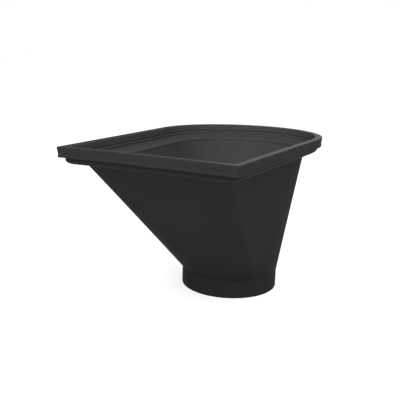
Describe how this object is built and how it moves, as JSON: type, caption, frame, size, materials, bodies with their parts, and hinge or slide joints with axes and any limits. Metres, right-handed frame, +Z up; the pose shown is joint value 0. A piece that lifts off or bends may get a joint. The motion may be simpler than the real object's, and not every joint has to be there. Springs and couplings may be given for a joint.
{
  "type": "feed hopper",
  "caption": "Open hopper with a D-shaped stepped mouth that tapers down a long sloping wall to a short round outlet spigot.",
  "frame": {"origin": "on the floor under the centre of the mouth's bounding box, level with the foot of the outlet spigot", "axes": "+Z up through the mouth, -Y towards the mouth's flat edge, +Y towards its round end, X across it"},
  "size_m": [0.19, 0.304, 0.1755],
  "materials": {
    "rim_plastic": "satin black moulded plastic with a very fine grain",
    "body_plastic": "matt black moulded plastic with a very fine grain"
  },
  "bodies": {
    "root": {"rim_frame": "rim_plastic", "seat_tray": "rim_plastic", "chute_body": "body_plastic", "outlet_spigot": "body_plastic"}
  },
  "joints": []
}
